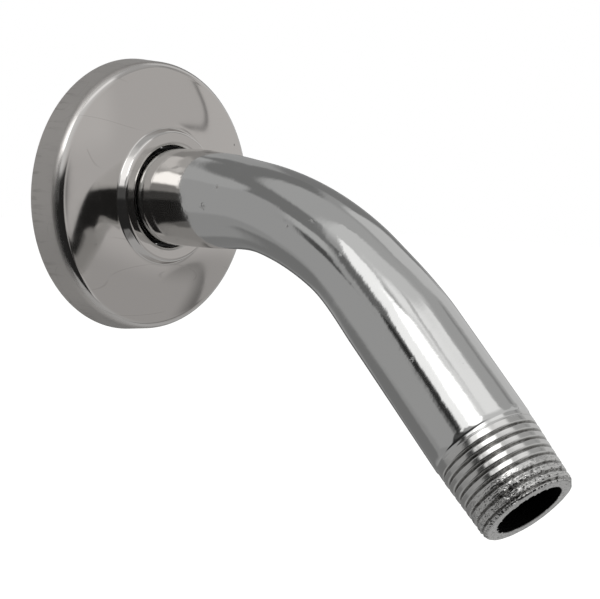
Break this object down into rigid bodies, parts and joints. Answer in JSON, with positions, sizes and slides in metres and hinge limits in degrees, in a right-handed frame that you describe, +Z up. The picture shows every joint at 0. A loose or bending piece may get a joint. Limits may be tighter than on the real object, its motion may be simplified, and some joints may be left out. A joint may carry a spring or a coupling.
{
  "type": "shower arm",
  "caption": "Bent half-inch pipe arm for a shower head, threaded at both ends, with a loose round pressed flange that slides along the pipe to cover the hole in the wall.",
  "frame": {"origin": "where the pipe's axis meets the plane of the wall", "axes": "+Y into the wall along the inlet, -Y out into the room, the outlet bends down towards -Z, +Z up, X level along the wall"},
  "size_m": [0.0608, 0.1394, 0.0923],
  "materials": {
    "arm_chrome": "bright chrome plate on steel pipe, duller and rough at the threads' ends",
    "flange_steel": "polished stainless sheet, with fine drawing marks on the rim"
  },
  "bodies": {
    "arm": {"arm_pipe": "arm_chrome"},
    "flange": {"wall_flange": "flange_steel"}
  },
  "joints": [
    {"name": "flange_slide", "type": "slide", "parent": "arm", "child": "flange", "axis": [0, -1, 0], "range_m": [0, 0.026]}
  ]
}
